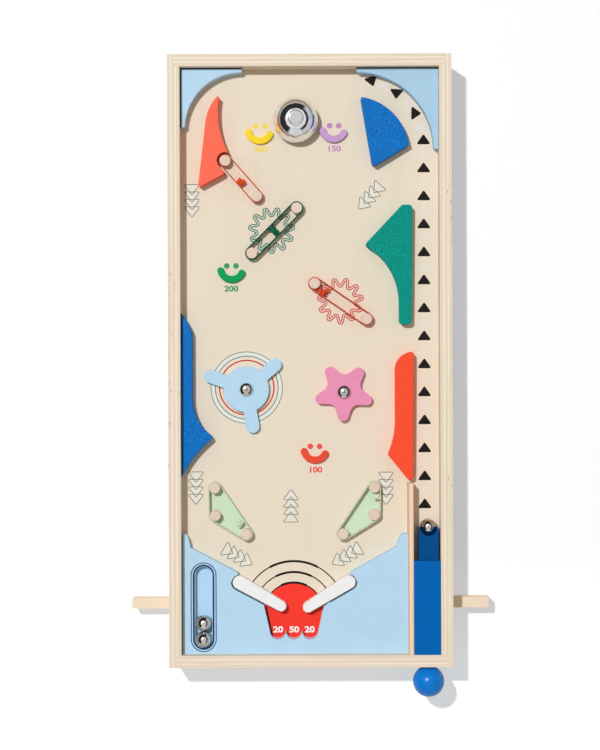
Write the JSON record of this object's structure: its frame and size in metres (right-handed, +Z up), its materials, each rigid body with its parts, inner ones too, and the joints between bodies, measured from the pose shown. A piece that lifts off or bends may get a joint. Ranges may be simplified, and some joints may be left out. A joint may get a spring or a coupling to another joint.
{
  "type": "tabletop pinball game",
  "caption": "Shallow plywood tray with a printed playfield, painted guides, elastic bumpers, spinning targets, a bell, rod-driven flippers and a spring plunger.",
  "frame": {"origin": "middle of the underside of the cabinet, on the surface it stands on", "axes": "+X to the player's right, +Y from the player's end to the rear, +Z up"},
  "size_m": [0.357, 0.6311, 0.0691],
  "materials": {
    "plywood_rail": "clear matt lacquer, ply edges showing",
    "playfield_wood": "clear matt lacquer with printed marks",
    "plain_wood": "unfinished",
    "beech": "sanded",
    "light_blue_paint": "satin paint",
    "deep_blue_paint": "satin paint",
    "blue_paint": "satin paint",
    "orange_paint": "satin paint",
    "red_paint": "satin paint",
    "green_paint": "satin paint",
    "pink_paint": "satin paint",
    "white_paint": "satin paint",
    "yellow_smile_paint": "satin paint",
    "purple_smile_paint": "satin paint",
    "green_smile_paint": "satin paint",
    "red_smile_paint": "satin paint",
    "orange_elastic": "woven elastic",
    "dark_green_elastic": "woven elastic",
    "red_elastic": "woven elastic",
    "mint_elastic": "woven elastic",
    "bell_chrome": "bright plate",
    "steel": "plain",
    "ball_steel": "polished"
  },
  "bodies": {
    "cabinet": {"apron": "light_blue_paint", "base_panel": "plain_wood", "base_screws": "steel", "bell_cap": "bell_chrome", "bell_dome": "bell_chrome", "bell_post": "steel", "blue_fin": "blue_paint", "blue_sector": "blue_paint", "bumper_pegs": "beech", "corner_guide_left": "light_blue_paint", "corner_guide_right": "light_blue_paint", "elastic_band_green": "dark_green_elastic", "elastic_band_left_mint": "mint_elastic", "elastic_band_orange": "orange_elastic", "elastic_band_red": "red_elastic", "elastic_band_right_mint": "mint_elastic", "flipper_bearings": "plain_wood", "front_rail": "plywood_rail", "green_fin": "green_paint", "lane_divider": "plain_wood", "launcher_cover": "deep_blue_paint", "orange_fin": "orange_paint", "pivot_washers": "steel", "playfield_board": "playfield_wood", "plunger_spring": "steel", "rear_rail": "plywood_rail", "red_fin": "red_paint", "rod_guides": "plain_wood", "rod_spring_left": "steel", "rod_spring_right": "steel", "side_rail_left": "plywood_rail", "side_rail_right": "plywood_rail", "smile_catcher_green": "green_smile_paint", "smile_catcher_purple": "purple_smile_paint", "smile_catcher_red": "red_smile_paint", "smile_catcher_yellow": "yellow_smile_paint", "spinner_pivot": "ball_steel", "stand_blocks": "plain_wood", "stand_pin": "steel", "star_pivot": "ball_steel"},
    "spinner": {"spinner": "light_blue_paint"},
    "star": {"star": "pink_paint"},
    "left_flipper": {"flipper_left": "white_paint", "flipper_shaft_left": "plain_wood", "flipper_crank_left": "plain_wood"},
    "right_flipper": {"flipper_right": "white_paint", "flipper_shaft_right": "plain_wood", "flipper_crank_right": "plain_wood"},
    "left_rod": {"push_rod_left": "beech", "rod_collar_left": "plain_wood"},
    "right_rod": {"push_rod_right": "beech", "rod_collar_right": "plain_wood"},
    "plunger": {"plunger_block": "deep_blue_paint", "plunger_shaft": "steel", "plunger_knob": "deep_blue_paint"},
    "lane_ball": {"lane_ball": "ball_steel"},
    "tray_ball_upper": {"tray_ball_upper": "ball_steel"},
    "tray_ball_lower": {"tray_ball_lower": "ball_steel"},
    "rear_stand": {"rear_stand": "plain_wood"}
  },
  "joints": [
    {"name": "spinner_spin", "type": "hinge", "parent": "cabinet", "child": "spinner", "pos_m": [-0.0631, -0.0279, 0.042], "axis": [0, 0, 1], "continuous": true},
    {"name": "star_spin", "type": "hinge", "parent": "cabinet", "child": "star", "pos_m": [0.0333, -0.0309, 0.043], "axis": [0, 0, 1], "continuous": true},
    {"name": "left_rod_push", "type": "slide", "parent": "cabinet", "child": "left_rod", "axis": [1, 0, 0], "range_m": [0, 0.0206], "stiffness_N_per_m": 90, "springref_m": -0.012, "deforming": ["rod_spring_left"]},
    {"name": "right_rod_push", "type": "slide", "parent": "cabinet", "child": "right_rod", "axis": [-1, 0, 0], "range_m": [0, 0.0206], "stiffness_N_per_m": 90, "springref_m": -0.012, "deforming": ["rod_spring_right"]},
    {"name": "left_flipper_swing", "type": "hinge", "parent": "cabinet", "child": "left_flipper", "pos_m": [-0.07045, -0.2179, 0.045], "axis": [0, 0, 1], "range_deg": [0, 50]},
    {"name": "right_flipper_swing", "type": "hinge", "parent": "cabinet", "child": "right_flipper", "pos_m": [0.03735, -0.2179, 0.045], "axis": [0, 0, -1], "range_deg": [0, 50]},
    {"name": "plunger_pull", "type": "slide", "parent": "cabinet", "child": "plunger", "axis": [0, -1, 0], "range_m": [0, 0.03], "stiffness_N_per_m": 150, "springref_m": -0.015, "deforming": ["plunger_spring"]},
    {"name": "lane_ball_roll", "type": "slide", "parent": "cabinet", "child": "lane_ball", "axis": [0, 1, 0], "range_m": [0, 0.35]},
    {"name": "tray_ball_upper_roll", "type": "slide", "parent": "cabinet", "child": "tray_ball_upper", "axis": [0, 1, 0], "range_m": [0, 0.046]},
    {"name": "tray_ball_lower_roll", "type": "slide", "parent": "cabinet", "child": "tray_ball_lower", "axis": [0, 1, 0], "range_m": [0, 0.046]},
    {"name": "stand_fold", "type": "hinge", "parent": "cabinet", "child": "rear_stand", "pos_m": [0, 0.262, 0.007], "axis": [1, 0, 0], "range_deg": [0, 100]}
  ],
  "couplings": [
    {"joint": "left_flipper_swing", "follows": "left_rod_push", "rad_per_m": 42.313},
    {"joint": "right_flipper_swing", "follows": "right_rod_push", "rad_per_m": 42.313},
    {"joint": "tray_ball_lower_roll", "follows": "tray_ball_upper_roll", "ratio": 1}
  ]
}
